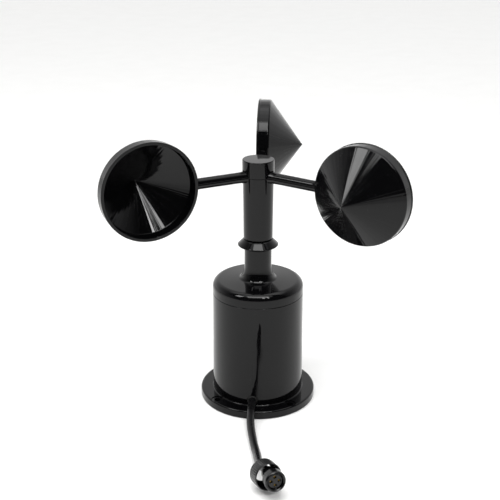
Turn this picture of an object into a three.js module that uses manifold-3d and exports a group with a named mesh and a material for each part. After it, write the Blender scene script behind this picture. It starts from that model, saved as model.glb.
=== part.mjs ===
// Three-cup anemometer with a flanged housing and a short plugged cable.
// Millimetres, +Z up. The origin is the centre of the underside, on the rotor's axis.
// The cable leaves the housing towards -Y. Every mesh is one separate piece of the instrument.
import * as THREE from "three";
import { mergeVertices } from "three/addons/utils/BufferGeometryUtils.js";
import Module from "manifold-3d";

const wasm = await Module();
wasm.setup();

// ---------------------------------------------------------------- driving dimensions

const FIT = 0.3; // gap between fixed pieces that are pressed, glued or screwed together
const RUN = 0.05; // radial running clearance inside the ball bearings
const QUARTER = Math.PI / 2;
const TURN = 2 * Math.PI;
const FINE = 32; // facets round the large mouldings
const MEDIUM = 20; // facets round the hub, the plug and the discs
const COARSE = 12; // facets round screws and pillars

const flange = { radius: 39.65, thickness: 5.5, edge: 1.3 };
const fixing = { count: 4, circle: 35.3, hole: 2.1, spotFace: 4.1, spotDepth: 0.5, boss: 4.4 };
const coring = { inner: 32.3, outer: 37.5, depth: 3.4, ribs: 8, rib: 1.3 };
const wall = { foot: 31.1, top: 30.75, thickness: 2.6, fillet: 0.8, seam: 77.2 };
const plate = { radius: 29.4, thickness: 2.4, gasket: 0.8, screwCircle: 24.8, boss: 3.7 };
const outlet = { z: 9.3, hole: 3.75, lip: 5.1, lipThickness: 1.6 };
const cover = {
  seamChamfer: 0.4,
  shoulderStart: 81.3,
  shoulderRadius: 4.9,
  crownRadius: 13.2,
  crown: 87.3,
  ceiling: 83.2,
  spigot: 27.9,
  spigotInner: 25.5,
  spigotEnd: 72.4,
};
const neck = { radius: 9.15, start: 97.6, top: 112, bore: 7.3 };
const collar = { rim: 13.6, rimBottom: 110.9, rimTop: 111.5, top: 115.5, topRadius: 10.1 };
const tube = { radius: 7, bottom: 80.6, flange: 11, flangeTop: 83.2, top: 148, seat: 90, lip: 3.6 };
const bearing = { outer: 5, bore: 2, width: 4, pitch: 3.5, ball: 0.75, balls: 6, lower: 90, upper: 141 };
const shaft = { radius: 1.98, bottom: 66.6, top: 161.2, tapped: 1.3, tappedDepth: 7 };
const hub = { bottom: 116, bottomRadius: 9.75, topRadius: 10.15, bore: 8.4, web: 150, spigot: 8.5 };
const arm = { z: 159.5, upper: 3.5, lower: 3.7, start: 8, root: 4.3, rootEnd: 13, tenon: 2.2 };
const cap = { radius: 10.5, top: 170.4, edge: 0.5, wall: 1.7 };
const cup = { offset: 76.5, radius: 31.8, wall: 1.7, mouth: 4.3, band: 4.1, apex: 27.2, lip: 0.35 };
const rotorRestAngle = THREE.MathUtils.degToRad(93.1);
const cupCount = 3;
const disc = { radius: 12, thickness: 0.6, z: 74, slots: 18, slotInner: 8.6, slotOuter: 11.2 };
const board = { radius: 24, z: 62.4, thickness: 1.6, notch: 18.6, notchWidth: 9.4 };
const pillar = { circle: 16.4, across: 5, angles: [60, 180, 300] };
const lug = { circle: 22.4, radius: 3.2, bottom: 66, angles: [0, 120, 240] };
const screw = { shank: 1.2, head: 2.7, headHeight: 1.7 };

const cable = { radius: 2.65, sides: 10, steps: 30 };
// The cable lies over the flange, drops to the ground and rises into the plug.
const cableRoute = [
  [0, -24.5, 9.3], [0, -28, 9.3], [0, -32, 9.2], [0.1, -37, 8.9], [0.3, -42, 8.5],
  [0.8, -47.5, 7.8], [1.4, -53, 6.7], [2.4, -59, 5.4], [3.8, -65, 4.2], [5.3, -71, 3.3],
  [6.8, -77, 3.0], [8.4, -83, 3.3], [9.9, -89, 4.2], [11.1, -95, 5.5], [12.3, -100.5, 6.8],
  [13.5, -105.0, 8.2], [14.9, -108.6, 9.5], [16.5, -111.6, 10.25], [18.1, -114.8, 10.75],
  [19.55, -117.85, 11.25], [21.15, -121.25, 11.87],
];

const plug = {
  front: [26, -131.3, 13.7], // centre of the mating face
  heading: THREE.MathUtils.degToRad(-64.5),
  tilt: THREE.MathUtils.degToRad(9.5),
  barrel: 6.5,
  chamfer: 0.8,
  lead: 0.6,
  recess: 4.75,
  recessDepth: 6.4,
  barrelEnd: -6.2,
  shoulder: -7.6,
  neckFront: 4.9,
  neckBack: 4.2,
  length: 15,
  socketDepth: 4.5,
};
const insert = { front: -1.6, back: -6.3, radius: 4.45, holeCircle: 2.6, hole: 0.8, contact: 0.5 };
// The coupling nut hangs loose on the neck and rests on the ground, a little askew.
const nut = {
  mouth: [21, -122.6, 11], // centre of the open front
  heading: THREE.MathUtils.degToRad(-61.4),
  tilt: THREE.MathUtils.degToRad(12.5),
  radius: 8.7,
  bore: 8,
  length: 10.6,
  lip: 5.6,
  lipThickness: 1.2,
  ribs: 24,
};

// ---------------------------------------------------------------- finishes

const finish = (color, roughness, metalness) =>
  new THREE.MeshStandardMaterial({ color, roughness, metalness });
const glossBlack = finish(0x0b0b0c, 0.12, 0);
const satinBlack = finish(0x141416, 0.45, 0);
const rubberBlack = finish(0x101010, 0.75, 0);
const steel = finish(0xc9ccd0, 0.25, 1);
const zincSteel = finish(0xb4b7bb, 0.4, 1);
const aluminium = finish(0xb9bcc2, 0.35, 1);
const brass = finish(0xc9a548, 0.3, 1);
const boardGreen = finish(0x1c5a34, 0.5, 0);
const chipBlack = finish(0x1d1d20, 0.55, 0);
const socketWhite = finish(0xe6e2d6, 0.5, 0);

// ---------------------------------------------------------------- solids: join and cut

function toSolid(geometry) {
  const bare = geometry.index ? geometry.clone() : mergeVertices(geometry.clone());
  bare.deleteAttribute("normal");
  bare.deleteAttribute("uv");
  const merged = mergeVertices(bare, 1e-4);
  const mesh = new wasm.Mesh({
    numProp: 3,
    vertProperties: new Float32Array(merged.attributes.position.array),
    triVerts: new Uint32Array(merged.index.array),
  });
  return new wasm.Manifold(mesh);
}

function toGeometry(solid) {
  const mesh = solid.getMesh();
  const geometry = new THREE.BufferGeometry();
  geometry.setAttribute("position", new THREE.BufferAttribute(mesh.vertProperties, 3));
  geometry.setIndex(new THREE.BufferAttribute(mesh.triVerts, 1));
  geometry.computeVertexNormals();
  return geometry;
}

function join(first, ...others) {
  return toGeometry(others.reduce((sum, other) => sum.add(toSolid(other)), toSolid(first)));
}

function cut(body, ...tools) {
  return toGeometry(tools.reduce((rest, tool) => rest.subtract(toSolid(tool)), toSolid(body)));
}

function common(body, tool) {
  return toGeometry(toSolid(body).intersect(toSolid(tool)));
}

// ---------------------------------------------------------------- shapes

// Points of an arc about (r, z); angles in quarter turns from the outward direction.
function arc(r, z, radius, startQuarter, endQuarter, steps) {
  return Array.from({ length: steps + 1 }, (_, i) => {
    const angle = QUARTER * THREE.MathUtils.lerp(startQuarter, endQuarter, i / steps);
    return [r + radius * Math.cos(angle), z + radius * Math.sin(angle)];
  });
}

// A closed outline of [radius, height] points turned about the Z axis.
function revolve(outline, facets) {
  const points = outline.map(([r, z]) => new THREE.Vector2(Math.max(r, 0), z));
  if (!THREE.ShapeUtils.isClockWise(points)) points.reverse();
  points.push(points[0].clone());
  return new THREE.LatheGeometry(points.reverse(), facets).rotateX(QUARTER);
}

function rod(radius, bottom, top, facets = COARSE) {
  const geometry = new THREE.CylinderGeometry(radius, radius, top - bottom, facets);
  return geometry.rotateX(QUARTER).translate(0, 0, (bottom + top) / 2);
}

function ring(inner, outer, bottom, top, facets = MEDIUM) {
  return revolve([[inner, bottom], [outer, bottom], [outer, top], [inner, top]], facets);
}

function block(width, depth, bottom, top) {
  return new THREE.BoxGeometry(width, depth, top - bottom).translate(0, 0, (bottom + top) / 2);
}

function oRing(radius, section, z, facets = MEDIUM) {
  return new THREE.TorusGeometry(radius, section, 5, facets).translate(0, 0, z);
}

function extrudeUp(shape, bottom, top) {
  const options = { depth: top - bottom, bevelEnabled: false, curveSegments: 6 };
  return new THREE.ExtrudeGeometry(shape, options).translate(0, 0, bottom);
}

// A ring with a gap, as a spring clip is.
function openRing(inner, outer, gapAngle, bottom, top) {
  const shape = new THREE.Shape();
  shape.absarc(0, 0, outer, gapAngle / 2, TURN - gapAngle / 2, false);
  shape.absarc(0, 0, inner, TURN - gapAngle / 2, gapAngle / 2, true);
  return extrudeUp(shape, bottom, top);
}

function atAngle(geometry, radius, angle) {
  return geometry.translate(radius, 0, 0).rotateZ(angle);
}

const degrees = (list) => list.map((value) => THREE.MathUtils.degToRad(value));
const evenly = (count, start = 0) => Array.from({ length: count }, (_, i) => start + (TURN * i) / count);

const part = new THREE.Group();
const stator = new THREE.Group();
const rotor = new THREE.Group();
rotor.rotation.z = rotorRestAngle;
const plugEnd = new THREE.Group();
const nutEnd = new THREE.Group();
part.add(stator, rotor, plugEnd, nutEnd);

function addTo(group, name, geometry, material) {
  const mesh = new THREE.Mesh(geometry, material);
  mesh.name = name;
  group.add(mesh);
}

// ---------------------------------------------------------------- screws

// A pan-head screw standing on its head: the head's underside is at z = 0 and the shank points up.
function panScrew(length) {
  const { shank, head, headHeight } = screw;
  return revolve([
    [0, -headHeight],
    [head - 0.7, -headHeight],
    [head, -headHeight + 0.8],
    [head, 0],
    [shank, 0],
    [shank, length],
    [0, length],
  ], COARSE);
}

// A countersunk screw pointing up, with its flat head's face at z = 0.
function flatScrew(length) {
  const { shank, head } = screw;
  return revolve([[0, 0], [head, 0], [head, 0.3], [shank, 1.6], [shank, length], [0, length]], COARSE);
}

// ---------------------------------------------------------------- housing

const plateScrewAngles = evenly(4, QUARTER / 2);
const recessDepth = plate.thickness + plate.gasket;
const fixingAngles = evenly(fixing.count, QUARTER / 2);

// The flange and the drafted wall are one moulding, open at both ends.
function housingShell() {
  const { radius, thickness, edge } = flange;
  const inside = wall.foot - wall.thickness;
  const insideTop = cover.spigot + FIT;
  return revolve([
    [plate.radius + FIT, 0],
    [radius - 0.5, 0],
    [radius, 0.5],
    ...arc(radius - edge, thickness - edge, edge, 0, 1, 2),
    ...arc(wall.foot + wall.fillet, thickness + wall.fillet, wall.fillet, -1, -2, 2),
    [wall.top, wall.seam - cover.seamChamfer],
    [wall.top - cover.seamChamfer, wall.seam],
    [insideTop, wall.seam],
    [insideTop, lug.bottom],
    [inside, recessDepth],
    [plate.radius + FIT, recessDepth],
  ], FINE);
}

// The underside of the flange is cored out between ribs, so the moulding has no thick section.
function flangeCoring() {
  const pocket = ring(coring.inner, coring.outer, -1, coring.depth, FINE);
  const bosses = fixingAngles.map((angle) =>
    atAngle(rod(fixing.boss, -2, coring.depth + 1), fixing.circle, angle));
  const between = (coring.inner + coring.outer) / 2;
  const length = coring.outer - coring.inner + 2;
  const ribs = evenly(coring.ribs).map((angle) =>
    atAngle(block(length, coring.rib, -2, coring.depth + 1), between, angle));
  return cut(pocket, ...bosses, ...ribs);
}

function fixingHoles() {
  const { thickness } = flange;
  return fixingAngles.flatMap((angle) => [
    atAngle(rod(fixing.hole, -1, thickness + 1), fixing.circle, angle),
    atAngle(rod(fixing.spotFace, thickness - fixing.spotDepth, thickness + 2), fixing.circle, angle),
  ]);
}

function plateBosses() {
  return plateScrewAngles.map((angle) => {
    const column = rod(plate.boss, recessDepth, 17);
    const web = block(3.4, 3, recessDepth, 16).translate(3, 0, 0);
    return atAngle(join(column, web), plate.screwCircle, angle);
  });
}

// Lugs near the top take the screws that hold the cover.
function coverLugs() {
  const { circle, radius, bottom, angles } = lug;
  return degrees(angles).map((angle) => {
    const nose = rod(radius, bottom, cover.spigotEnd - FIT);
    const arm = block(6.4, 2 * radius, bottom, cover.spigotEnd - FIT).translate(3.1, 0, 0);
    return atAngle(join(nose, arm), circle, angle);
  });
}

function outletHole(radius) {
  return rod(radius, 0, 20, MEDIUM).rotateX(QUARTER).translate(0, -20, outlet.z);
}

function housing() {
  const shell = cut(housingShell(), flangeCoring(), ...fixingHoles());
  const full = join(shell, ...plateBosses(), ...coverLugs());
  const plateScrewHoles = plateScrewAngles.map((angle) =>
    atAngle(rod(screw.shank + FIT, 0, 14), plate.screwCircle, angle));
  const lugHoles = degrees(lug.angles).map((angle) =>
    atAngle(rod(screw.shank + FIT, lug.bottom - 1, wall.seam), lug.circle, angle));
  return cut(full, ...plateScrewHoles, ...lugHoles, outletHole(outlet.hole));
}

function bottomPlate() {
  const sinks = plateScrewAngles.flatMap((angle) => {
    const head = screw.head + FIT;
    const cone = revolve([[0, -0.1], [head, -0.1], [head, 0.35], [screw.shank + FIT, 1.7], [0, 1.7]], COARSE);
    return [
      atAngle(cone, plate.screwCircle, angle),
      atAngle(rod(screw.shank + FIT, -1, 4), plate.screwCircle, angle),
    ];
  });
  const disk = revolve([
    [0, 0], [plate.radius - 0.4, 0], [plate.radius, 0.4], [plate.radius, plate.thickness], [0, plate.thickness],
  ], FINE);
  return cut(disk, ...sinks);
}

function bottomGasket() {
  const sheet = ring(21, plate.radius - 0.5, plate.thickness + 0.05, recessDepth - 0.05, MEDIUM);
  const holes = plateScrewAngles.map((angle) =>
    atAngle(rod(screw.shank + FIT, 0, 6), plate.screwCircle, angle));
  return cut(sheet, ...holes);
}

addTo(stator, "housing", housing(), glossBlack);
addTo(stator, "bottom_plate", bottomPlate(), satinBlack);
addTo(stator, "bottom_gasket", bottomGasket(), rubberBlack);
plateScrewAngles.forEach((angle, i) =>
  addTo(stator, `bottom_screw_${i + 1}`, atAngle(flatScrew(11), plate.screwCircle, angle), zincSteel));

// ---------------------------------------------------------------- top cover and drip collar

// Concave flare from the crown up to the neck: a quarter ellipse.
function flareOutline(steps) {
  const wide = cover.crownRadius - neck.radius;
  const tall = neck.start - cover.crown;
  return Array.from({ length: steps + 1 }, (_, i) => {
    const angle = (QUARTER * i) / steps;
    return [cover.crownRadius - wide * Math.sin(angle), neck.start - tall * Math.cos(angle)];
  });
}

function coverShell() {
  const { seamChamfer, shoulderStart, shoulderRadius, spigot, spigotInner, spigotEnd, ceiling } = cover;
  const groove = { bottom: 73.9, top: 75.7, depth: 1 };
  return revolve([
    [spigotInner, spigotEnd],
    [spigot, spigotEnd],
    [spigot, groove.bottom],
    [spigot - groove.depth, groove.bottom],
    [spigot - groove.depth, groove.top],
    [spigot, groove.top],
    [spigot, wall.seam],
    [wall.top - seamChamfer, wall.seam],
    [wall.top, wall.seam + seamChamfer],
    ...arc(wall.top - shoulderRadius, shoulderStart, shoulderRadius, 0, 0.9, 4),
    ...flareOutline(5),
    [neck.radius, neck.top],
    [neck.bore, neck.top],
    [neck.bore, ceiling],
    [spigotInner - 2.5, ceiling],
    [spigotInner, ceiling - 2.5],
  ], FINE);
}

function topCover() {
  const screwBosses = degrees(lug.angles).map((angle) =>
    atAngle(rod(lug.radius, cover.spigotEnd, cover.ceiling + 1), lug.circle, angle));
  const pillarPads = degrees(pillar.angles).map((angle) =>
    atAngle(rod(3.4, cover.ceiling - 1.5, cover.ceiling + 1), pillar.circle, angle));
  const screwHoles = degrees(lug.angles).map((angle) =>
    atAngle(rod(screw.shank + FIT, cover.spigotEnd - 1, 81), lug.circle, angle));
  return cut(join(coverShell(), ...screwBosses, ...pillarPads), ...screwHoles);
}

// A conical skirt throws the rain clear of the gap under the turning hub.
function dripCollar() {
  return revolve([
    [neck.radius + FIT, neck.top - 2.6],
    [neck.radius + 1.2, neck.top - 2.6],
    [collar.rim - 1.6, collar.rimBottom + 0.5],
    [collar.rim - 0.3, collar.rimBottom],
    [collar.rim, collar.rimTop],
    [collar.topRadius, collar.top - 0.5],
    [collar.topRadius - 0.6, collar.top],
    [neck.bore, collar.top],
    [neck.bore, neck.top + 0.05],
    [neck.radius + FIT, neck.top + 0.05],
  ], FINE);
}

addTo(stator, "top_cover", topCover(), glossBlack);
addTo(stator, "cover_seal", oRing(27.55, 0.5, 74.8, FINE), rubberBlack);
degrees(lug.angles).forEach((angle, i) => {
  const placed = atAngle(panScrew(12), lug.circle, angle).translate(0, 0, lug.bottom);
  addTo(stator, `cover_screw_${i + 1}`, placed, zincSteel);
});
addTo(stator, "drip_collar", dripCollar(), glossBlack);

// ---------------------------------------------------------------- bearing tube and ball bearings

const bearingTop = bearing.upper + bearing.width;

function bearingTube() {
  const bore = bearing.outer + RUN;
  const groove = { bottom: bearingTop + 0.1, top: bearingTop + 1.1, radius: bore + 0.5 };
  return revolve([
    [tube.lip, tube.bottom],
    [tube.flange, tube.bottom],
    [tube.flange, tube.flangeTop - 0.05],
    [tube.radius, tube.flangeTop - 0.05],
    [tube.radius, tube.top - 0.6],
    [tube.radius - 0.6, tube.top],
    [bore, tube.top],
    [bore, groove.top],
    [groove.radius, groove.top],
    [groove.radius, groove.bottom],
    [bore, groove.bottom],
    [bore, tube.seat],
    [tube.lip, tube.seat],
  ], MEDIUM);
}

function outerRing(z) {
  const { outer, width, pitch, ball } = bearing;
  const mid = z + width / 2;
  const race = pitch + ball + 0.2;
  const shoulder = race - 0.5;
  return revolve([
    [shoulder, z], [outer, z], [outer, z + width], [shoulder, z + width],
    [shoulder, mid + 0.75], [race, mid], [shoulder, mid - 0.75],
  ], MEDIUM);
}

function innerRing(z) {
  const { bore, width, pitch, ball } = bearing;
  const mid = z + width / 2;
  const race = pitch - ball - 0.2;
  const shoulder = race + 0.45;
  return revolve([
    [bore, z], [shoulder, z], [shoulder, mid - 0.75], [race, mid],
    [shoulder, mid + 0.75], [shoulder, z + width], [bore, z + width],
  ], MEDIUM);
}

// The balls and the snap-in cage that spaces them.
function ballCage(z) {
  const mid = z + bearing.width / 2;
  const band = ring(bearing.pitch - 0.25, bearing.pitch + 0.25, mid - 0.4, mid + 0.4, 2 * bearing.balls);
  const balls = evenly(bearing.balls).map((angle) =>
    new THREE.SphereGeometry(bearing.ball, 6, 4).translate(bearing.pitch, 0, mid).rotateZ(angle));
  return join(band, ...balls);
}

addTo(stator, "bearing_tube", bearingTube(), aluminium);
const bearings = { lower: bearing.lower, upper: bearing.upper };
for (const [place, z] of Object.entries(bearings)) {
  addTo(stator, `${place}_bearing_outer_ring`, outerRing(z), steel);
  addTo(stator, `${place}_bearing_ball_cage`, ballCage(z), steel);
  addTo(rotor, `${place}_bearing_inner_ring`, innerRing(z), steel);
}
const clip = openRing(4.1, bearing.outer + 0.35, 0.6, bearingTop + 0.3, bearingTop + 0.9);
addTo(stator, "retaining_ring", clip, zincSteel);

// ---------------------------------------------------------------- shaft and what turns with it

function rotorShaft() {
  const { radius, bottom, top, tapped, tappedDepth } = shaft;
  const grooveTop = bearing.lower - 0.3;
  return revolve([
    [0, bottom],
    [radius - 0.4, bottom],
    [radius, bottom + 0.4],
    [radius, grooveTop - 0.9],
    [radius - 0.4, grooveTop - 0.9],
    [radius - 0.4, grooveTop],
    [radius, grooveTop],
    [radius, top],
    [tapped, top],
    [tapped, top - tappedDepth],
    [0, top - tappedDepth],
  ], MEDIUM);
}

function slottedDisc() {
  const { radius, thickness, z, slots, slotInner, slotOuter } = disc;
  const sheet = ring(shaft.radius + RUN, radius, z, z + thickness, 18);
  const between = (slotInner + slotOuter) / 2;
  const windows = evenly(slots).map((angle) =>
    atAngle(block(slotOuter - slotInner, 1.5, z - 1, z + 2), between, angle));
  return cut(sheet, ...windows);
}

function discBoss() {
  const body = ring(shaft.radius + RUN, 4.2, 68.4, disc.z - 0.02);
  const grubHole = rod(1.25, 0, 6, COARSE).rotateY(QUARTER).translate(0, 0, 71);
  return cut(body, grubHole);
}

addTo(rotor, "shaft", rotorShaft(), steel);
const spacerOutline = [bearing.bore, 2.8, bearing.lower + bearing.width, bearing.upper];
addTo(rotor, "bearing_spacer", ring(...spacerOutline), aluminium);
const shaftClip = openRing(shaft.radius - 0.3, 3.2, 1.2, bearing.lower - 1, bearing.lower - 0.4);
addTo(rotor, "shaft_circlip", shaftClip, zincSteel);
addTo(rotor, "slotted_disc", slottedDisc(), zincSteel);
addTo(rotor, "disc_boss", discBoss(), brass);
const grub = rod(0.95, shaft.radius + 0.2, 4, COARSE).rotateY(QUARTER).translate(0, 0, 71);
addTo(rotor, "disc_grub_screw", grub, zincSteel);

// ---------------------------------------------------------------- rotor hub with its arms

const capSplit = arm.z; // the cap closes down to the arms' middle plane
const cupAngles = evenly(cupCount);

function hubSleeve() {
  return revolve([
    [hub.bore, hub.bottom],
    ...arc(hub.bottomRadius - 1.2, hub.bottom + 1.2, 1.2, -1, 0, 3),
    [hub.topRadius, capSplit - 0.15],
    [hub.spigot, capSplit - 0.15],
    [hub.spigot, cap.top - 2.4],
    [6.3, cap.top - 2.4],
    [6.3, shaft.top + 0.3],
    [shaft.radius + RUN, shaft.top + 0.3],
    [shaft.radius + RUN, bearingTop + 0.3],
    [3.1, bearingTop + 0.3],
    [3.1, hub.web],
    [hub.bore, hub.web],
  ], MEDIUM + 4);
}

// Section of an arm: the lower half stands a little proud at the mould's parting line.
function armSection() {
  const shape = new THREE.Shape();
  shape.absarc(0, 0, arm.upper, 0, Math.PI, false);
  shape.absarc(0, 0, arm.lower, Math.PI, TURN, false);
  return shape;
}

function hubArm() {
  const { start, root, rootEnd, tenon, z } = arm;
  const end = cup.offset - cup.radius - cup.lip - 0.1;
  const options = { depth: end - start, bevelEnabled: false, curveSegments: 7 };
  // The extrusion runs along +X with the section's upper half uppermost.
  const bar = new THREE.ExtrudeGeometry(armSection(), options);
  bar.rotateX(QUARTER).rotateZ(QUARTER).translate(start, 0, z);
  const flare = new THREE.CylinderGeometry(arm.upper, root, rootEnd - start, 14);
  flare.rotateZ(-QUARTER).translate((start + rootEnd) / 2, 0, z);
  const tenonEnd = cup.offset - cup.radius + cup.wall;
  const peg = rod(tenon, end - 1, tenonEnd).rotateY(QUARTER).translate(0, 0, z);
  return join(bar, flare, peg);
}

function rotorHub() {
  const arms = cupAngles.map((angle) => hubArm().rotateZ(angle));
  const shaftSpace = rod(6.3, shaft.top + 0.3, cap.top, MEDIUM);
  return cut(join(hubSleeve(), ...arms), shaftSpace);
}

function hubCap() {
  const lid = revolve([
    [hub.spigot + FIT, capSplit],
    [cap.radius, capSplit],
    ...arc(cap.radius - cap.edge, cap.top - cap.edge, cap.edge, 0, 1, 2),
    [0, cap.top],
    [0, cap.top - cap.wall],
    [hub.spigot + FIT, cap.top - cap.wall],
  ], MEDIUM + 4);
  const notches = cupAngles.map((angle) =>
    rod(arm.root + FIT, 5, 14, 14).rotateY(QUARTER).translate(0, 0, arm.z).rotateZ(angle));
  return cut(lid, ...notches);
}

addTo(rotor, "rotor_hub", rotorHub(), glossBlack);
addTo(rotor, "hub_cap", hubCap(), glossBlack);
const washerBottom = shaft.top + 0.35;
addTo(rotor, "hub_washer", ring(screw.shank + FIT, 4.2, washerBottom, washerBottom + 0.6), zincSteel);
const hubScrew = panScrew(6).rotateX(Math.PI).translate(0, 0, washerBottom + 0.65);
addTo(rotor, "hub_screw", hubScrew, zincSteel);

// ---------------------------------------------------------------- cups

// One cup about the Z axis: a cylindrical band open at the bottom, closed by a pointed cone.
function cupShell() {
  const { radius, wall: skin, mouth, band, apex, lip } = cup;
  const slope = Math.atan2(radius, apex - band);
  const tipInside = apex - skin / Math.sin(slope);
  const conical = (inset) => radius - inset;
  return revolve([
    [radius - skin, -mouth],
    [radius + lip - 0.2, -mouth],
    [radius + lip, -mouth + 0.2],
    [radius + lip, -mouth + 1.2],
    [radius, -mouth + 1.5],
    [radius, band - 0.6],
    [conical(0.5), band + 0.3],
    [0.7, apex - 0.55],
    [0, apex],
    [0, tipInside],
    [radius - skin, band - 0.5],
  ], FINE);
}

function cupPiece() {
  // Turned so the mouth faces forwards in the sense of rotation, then hung on its arm.
  const shell = cupShell().rotateX(QUARTER).translate(cup.offset, 0, arm.z);
  const tenonHole = rod(arm.tenon + FIT, 38, cup.offset - 20).rotateY(QUARTER).translate(0, 0, arm.z);
  return cut(shell, tenonHole);
}

cupAngles.forEach((angle, i) => addTo(rotor, `cup_${i + 1}`, cupPiece().rotateZ(angle), glossBlack));

// ---------------------------------------------------------------- circuit board

const boardTop = board.z + board.thickness;

function circuitBoard() {
  const sheet = rod(board.radius, board.z, boardTop, FINE);
  const reach = board.radius - board.notch + 2;
  const notches = degrees(lug.angles).map((angle) =>
    atAngle(block(reach, board.notchWidth, board.z - 1, boardTop + 1), board.notch + reach / 2, angle));
  const holes = degrees(pillar.angles).map((angle) =>
    atAngle(rod(screw.shank + FIT, board.z - 1, boardTop + 1), pillar.circle, angle));
  return cut(sheet, ...notches, ...holes);
}

function boardPillar() {
  const hex = rod(pillar.across / Math.sqrt(3), boardTop + 0.05, cover.ceiling - 1.55, 6);
  return cut(hex, rod(screw.shank + FIT, boardTop - 1, boardTop + 8));
}

// A slotted sensor whose gap lets the disc's rim pass.
function opticalFork() {
  const shape = new THREE.Shape();
  const back = 16.6;
  const front = 8.2;
  const [low, gapLow, gapHigh, high] = [boardTop + 0.05, disc.z - 1.6, disc.z + disc.thickness + 1.6, 79];
  shape.moveTo(front + 2, low);
  shape.lineTo(back, low);
  shape.lineTo(back, high);
  shape.lineTo(front, high);
  shape.lineTo(front, gapHigh);
  shape.lineTo(13.2, gapHigh);
  shape.lineTo(13.2, gapLow);
  shape.lineTo(front, gapLow);
  shape.lineTo(front, gapLow - 3);
  shape.lineTo(front + 2, gapLow - 4);
  const geometry = new THREE.ExtrudeGeometry(shape, { depth: 6, bevelEnabled: false });
  return geometry.translate(0, 0, -3).rotateX(QUARTER);
}

addTo(stator, "circuit_board", circuitBoard(), boardGreen);
degrees(pillar.angles).forEach((angle, i) => {
  addTo(stator, `board_pillar_${i + 1}`, atAngle(boardPillar(), pillar.circle, angle), brass);
  const fixed = atAngle(panScrew(6), pillar.circle, angle).translate(0, 0, board.z - 0.05);
  addTo(stator, `board_screw_${i + 1}`, fixed, zincSteel);
});
addTo(stator, "optical_fork", opticalFork().rotateZ(THREE.MathUtils.degToRad(20)), chipBlack);
const chip = block(7, 7, boardTop + 0.05, boardTop + 1.2).translate(-8, 11, 0);
addTo(stator, "microcontroller", chip, chipBlack);
const regulator = block(6.6, 6, boardTop + 0.05, boardTop + 2.4).translate(-9, -11, 0);
addTo(stator, "voltage_regulator", regulator, chipBlack);
const can = revolve([
  [0, 54.6], [2.8, 54.6], [3.2, 55], [3.2, board.z - 0.05], [0, board.z - 0.05],
], COARSE).translate(10, 6, 0);
addTo(stator, "capacitor", can, aluminium);
const socket = cut(
  block(11, 6, 56, board.z - 0.05),
  block(9.4, 4.4, 55, 60),
).translate(0, -12, 0);
addTo(stator, "board_socket", socket, socketWhite);

// ---------------------------------------------------------------- cable outlet and cable

const points = (list) => list.map(([x, y, z]) => new THREE.Vector3(x, y, z));

function hose(route, radius, sides, steps) {
  const section = new THREE.Shape();
  section.absarc(0, 0, radius, 0, TURN, false);
  const outline = new THREE.Shape(section.getPoints(Math.ceil(sides / 2)).slice(0, -1));
  outline.autoClose = true;
  const path = new THREE.CatmullRomCurve3(points(route));
  return new THREE.ExtrudeGeometry(outline, { steps, bevelEnabled: false, extrudePath: path });
}

function cableGrommet() {
  const { hole, lip, lipThickness, z } = outlet;
  const inside = Math.sqrt((wall.foot - wall.thickness) ** 2 - lip ** 2) - 0.3;
  const bore = cable.radius + FIT;
  const outline = [
    [bore, inside - lipThickness], [lip, inside - lipThickness], [lip, inside],
    [hole - FIT, inside], [hole - FIT, wall.foot + 0.3], [hole - 0.7, wall.foot + 0.6],
    [bore, wall.foot + 0.6],
  ];
  return revolve(outline, MEDIUM).rotateX(QUARTER).translate(0, 0, z);
}

addTo(stator, "cable_grommet", cableGrommet(), rubberBlack);
addTo(stator, "cable", hose(cableRoute, cable.radius, cable.sides, cable.steps), satinBlack);
const innerRoute = [[0, -24, 9.3], [0, -20, 10], [0, -16.5, 16], [0, -15, 28], [0, -13, 44], [0, -12, 56.5]];
addTo(stator, "inner_wires", hose(innerRoute.slice(1), 1.5, 8, 14), satinBlack);

// ---------------------------------------------------------------- plug, built along +Z from its mating face

// Sets a group's own Z axis along a heading over the ground, tilted up from it.
function aim(group, position, { heading, tilt }) {
  group.position.set(...position);
  group.rotation.order = "ZYX";
  group.rotation.z = heading;
  group.rotation.y = QUARTER - tilt;
}

aim(plugEnd, plug.front, plug);
aim(nutEnd, nut.mouth, nut);

function plugBody() {
  const { barrel, chamfer, lead, recess, recessDepth, barrelEnd, shoulder } = plug;
  const { neckFront, neckBack, length, socketDepth } = plug;
  const cableBore = cable.radius + FIT;
  return revolve([
    [cableBore, -length],
    [neckBack - 0.3, -length],
    [neckBack, -length + 0.5],
    [neckFront, shoulder],
    [barrel - 0.3, barrelEnd],
    [barrel, barrelEnd + 0.5],
    [barrel, -chamfer],
    [barrel - chamfer, 0],
    [recess + lead, 0],
    [recess, -lead],
    [recess, -recessDepth],
    [0, -recessDepth],
    [0, -length + socketDepth],
    [cableBore, -length + socketDepth],
  ], MEDIUM);
}

const contactAngles = evenly(4, QUARTER);

function contactCarrier() {
  const disk = rod(insert.radius, insert.back, insert.front, MEDIUM);
  const holes = contactAngles.map((angle) =>
    atAngle(rod(insert.hole, insert.back + 0.6, insert.front + 1, 10), insert.holeCircle, angle));
  return cut(disk, ...holes);
}

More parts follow.
